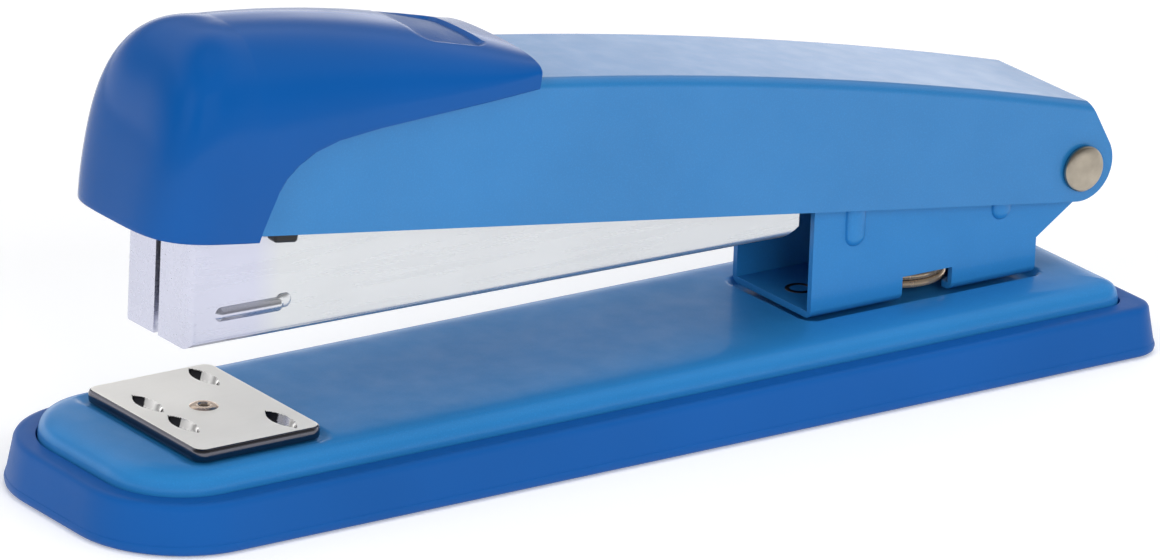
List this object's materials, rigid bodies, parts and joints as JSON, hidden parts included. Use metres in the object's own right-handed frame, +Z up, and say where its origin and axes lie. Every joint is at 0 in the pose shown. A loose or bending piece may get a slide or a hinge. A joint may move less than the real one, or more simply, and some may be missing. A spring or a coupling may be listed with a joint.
{
  "type": "desk stapler",
  "caption": "Desktop lever stapler: flat shoe base with a turning anvil, hinged staple magazine, lifting sheet-metal arm and a rounded plastic head cap.",
  "frame": {"origin": "centre of the footprint, on the underside of the base shoe", "axes": "+X towards the hinge pin, -X towards the head cap and anvil, +Y across to the stapler's left side seen from the hinge looking forward, +Z up"},
  "size_m": [0.165, 0.0436, 0.064],
  "materials": {
    "head_cap": "glossy moulded plastic",
    "base_shoe": "satin moulded plastic",
    "base_plate": "satin metallic blue lacquer",
    "hanger_bracket": "satin metallic blue lacquer",
    "handle_arm": "satin metallic blue lacquer",
    "magazine_channel": "bright zinc plate",
    "staple_rail": "bright zinc plate",
    "pusher_rod": "drawn wire",
    "rail_pin": "drawn wire",
    "pusher": "black moulded plastic",
    "pusher_spring": "spring wire",
    "return_spring": "oiled spring wire",
    "anvil_spring": "spring wire",
    "lift_spring": "blued spring strip",
    "driver_blade": "hardened strip",
    "driver_carrier": "black moulded plastic",
    "anvil_plate": "bright nickel plate",
    "anvil_rivet": "bright nickel plate",
    "anvil_button": "black moulded plastic",
    "pivot_pin": "turned nickel plate",
    "bracket_rivet_front": "nickel plate",
    "bracket_rivet_rear": "nickel plate"
  },
  "bodies": {
    "base": {"base_shoe": "base_shoe", "base_plate": "base_plate", "hanger_bracket": "hanger_bracket", "bracket_rivet_front": "bracket_rivet_front", "bracket_rivet_rear": "bracket_rivet_rear", "pivot_pin": "pivot_pin", "return_spring": "return_spring", "anvil_spring": "anvil_spring"},
    "anvil_lifter": {"anvil_button": "anvil_button"},
    "anvil": {"anvil_plate": "anvil_plate", "anvil_rivet": "anvil_rivet"},
    "magazine": {"magazine_channel": "magazine_channel", "staple_rail": "staple_rail", "pusher_rod": "pusher_rod", "rail_pin": "rail_pin", "pusher_spring": "pusher_spring"},
    "pusher_slider": {"pusher": "pusher"},
    "arm_lifter": {"lift_spring": "lift_spring"},
    "arm": {"handle_arm": "handle_arm", "head_cap": "head_cap", "driver_blade": "driver_blade", "driver_carrier": "driver_carrier"}
  },
  "joints": [
    {"name": "anvil_lift", "type": "slide", "parent": "base", "child": "anvil_lifter", "axis": [0, 0, 1], "range_m": [0, 0.0012], "stiffness_N_per_m": 500, "springref_m": -0.003, "deforming": ["anvil_spring"]},
    {"name": "anvil_turn", "type": "hinge", "parent": "anvil_lifter", "child": "anvil", "pos_m": [-0.0592, 0, 0.0113], "axis": [0, 0, 1], "range_deg": [0, 180]},
    {"name": "magazine_press", "type": "hinge", "parent": "base", "child": "magazine", "pos_m": [0.07435, 0, 0.02465], "axis": [0, 1, 0], "range_deg": [-3.8, 0], "stiffness_Nm_per_rad": 3, "springref_deg": 8.59, "deforming": ["return_spring"]},
    {"name": "pusher_slide", "type": "slide", "parent": "magazine", "child": "pusher_slider", "axis": [0.9999, 0, -0.0129], "range_m": [0, 0.055], "stiffness_N_per_m": 30, "springref_m": -0.05, "deforming": ["pusher_spring"]},
    {"name": "driver_stroke", "type": "hinge", "parent": "magazine", "child": "arm_lifter", "pos_m": [0.07435, 0, 0.02465], "axis": [0, 1, 0], "range_deg": [-4, 0], "stiffness_Nm_per_rad": 3, "springref_deg": 5.73},
    {"name": "arm_open", "type": "hinge", "parent": "arm_lifter", "child": "arm", "pos_m": [0.07435, 0, 0.02465], "axis": [0, 1, 0], "range_deg": [0, 95]}
  ]
}
